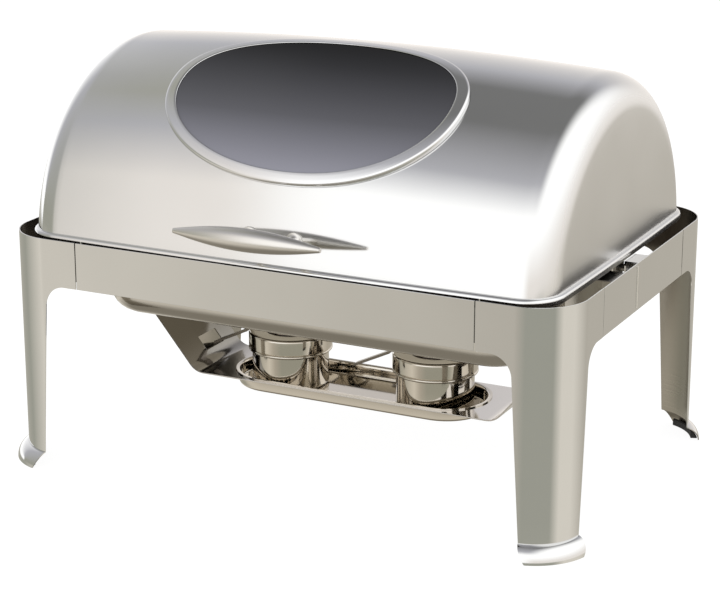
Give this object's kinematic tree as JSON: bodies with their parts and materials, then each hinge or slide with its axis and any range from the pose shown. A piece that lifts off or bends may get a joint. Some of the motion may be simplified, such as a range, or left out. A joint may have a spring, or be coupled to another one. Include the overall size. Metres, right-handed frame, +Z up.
{
  "type": "chafing dish",
  "caption": "Roll-top food warmer: domed stainless lid with an oval glass window on a four-legged frame, over a water pan, a food pan and covered fuel cups.",
  "frame": {"origin": "on the floor, under the middle of the whole outline, handle included; the frame's centre is 20 mm behind it", "axes": "+Z up, +X along the long side to the right, -Y towards the handle and the user"},
  "size_m": [0.6806, 0.5023, 0.4671],
  "materials": {
    "lid_steel": "stainless steel, polished to a soft mirror",
    "bezel_steel": "polished stainless steel",
    "window_glass": "smoke-tinted toughened glass",
    "black_rubber": "matt black rubber",
    "handle_steel": "satin-polished stainless steel",
    "frame_steel": "mirror-polished stainless steel",
    "hidden_steel": "mill-finish stainless steel",
    "pan_steel": "bright-rolled stainless steel",
    "burner_steel": "bright stainless steel, slightly heat-warmed"
  },
  "bodies": {
    "frame": {"leg_front_left": "frame_steel", "foot_pad_front_left": "black_rubber", "splice_front_left": "hidden_steel", "splice_left_front": "hidden_steel", "leg_front_right": "frame_steel", "foot_pad_front_right": "black_rubber", "splice_front_right": "hidden_steel", "splice_right_front": "hidden_steel", "leg_rear_left": "frame_steel", "foot_pad_rear_left": "black_rubber", "splice_rear_left": "hidden_steel", "splice_left_rear": "hidden_steel", "leg_rear_right": "frame_steel", "foot_pad_rear_right": "black_rubber", "splice_rear_right": "hidden_steel", "splice_right_rear": "hidden_steel", "front_band": "frame_steel", "rear_band": "frame_steel", "left_band": "frame_steel", "right_band": "frame_steel", "hinge_bracket_left": "frame_steel", "hinge_bracket_right": "frame_steel", "pivot_pin_left": "hidden_steel", "pivot_pin_right": "hidden_steel", "pivot_nut_left": "hidden_steel", "pivot_nut_right": "hidden_steel", "pan_carrier": "hidden_steel", "burner_shelf": "burner_steel", "burner_tray": "burner_steel"},
    "lid": {"lid_shell": "lid_steel", "window_bezel": "bezel_steel", "window_glass": "window_glass", "window_seal": "black_rubber", "window_clamp": "hidden_steel", "handle_grip": "handle_steel", "handle_post_left": "handle_steel", "handle_post_right": "handle_steel", "handle_screw_left": "hidden_steel", "handle_screw_right": "hidden_steel", "lid_lug_left": "lid_steel", "lid_lug_right": "lid_steel"},
    "water_pan": {"water_pan": "pan_steel"},
    "food_pan": {"food_pan": "pan_steel"},
    "cup_left": {"fuel_cup_left": "burner_steel"},
    "cover_left": {"cup_cover_left": "burner_steel", "damper_rivet_left": "hidden_steel"},
    "damper_left": {"damper_left": "burner_steel"},
    "cup_right": {"fuel_cup_right": "burner_steel"},
    "cover_right": {"cup_cover_right": "burner_steel", "damper_rivet_right": "hidden_steel"},
    "damper_right": {"damper_right": "burner_steel"}
  },
  "joints": [
    {"name": "lid_roll", "type": "hinge", "parent": "frame", "child": "lid", "pos_m": [0, 0.02, 0.25], "axis": [-1, 0, 0], "range_deg": [0, 90]},
    {"name": "water_pan_lift", "type": "slide", "parent": "frame", "child": "water_pan", "axis": [0, 0, 1], "range_m": [0, 0.02]},
    {"name": "food_pan_lift", "type": "slide", "parent": "water_pan", "child": "food_pan", "axis": [0, 0, 1], "range_m": [0, 0.06]},
    {"name": "cup_lift_left", "type": "slide", "parent": "frame", "child": "cup_left", "axis": [0, 0, 1], "range_m": [0, 0.012]},
    {"name": "cover_lift_left", "type": "slide", "parent": "cup_left", "child": "cover_left", "axis": [0, 0, 1], "range_m": [0, 0.02]},
    {"name": "damper_swing_left", "type": "hinge", "parent": "cover_left", "child": "damper_left", "pos_m": [-0.091, 0.057, 0.127], "axis": [0, 0, -1], "range_deg": [0, 75]},
    {"name": "cup_lift_right", "type": "slide", "parent": "frame", "child": "cup_right", "axis": [0, 0, 1], "range_m": [0, 0.012]},
    {"name": "cover_lift_right", "type": "slide", "parent": "cup_right", "child": "cover_right", "axis": [0, 0, 1], "range_m": [0, 0.02]},
    {"name": "damper_swing_right", "type": "hinge", "parent": "cover_right", "child": "damper_right", "pos_m": [0.091, 0.057, 0.127], "axis": [0, 0, -1], "range_deg": [0, 75]}
  ]
}
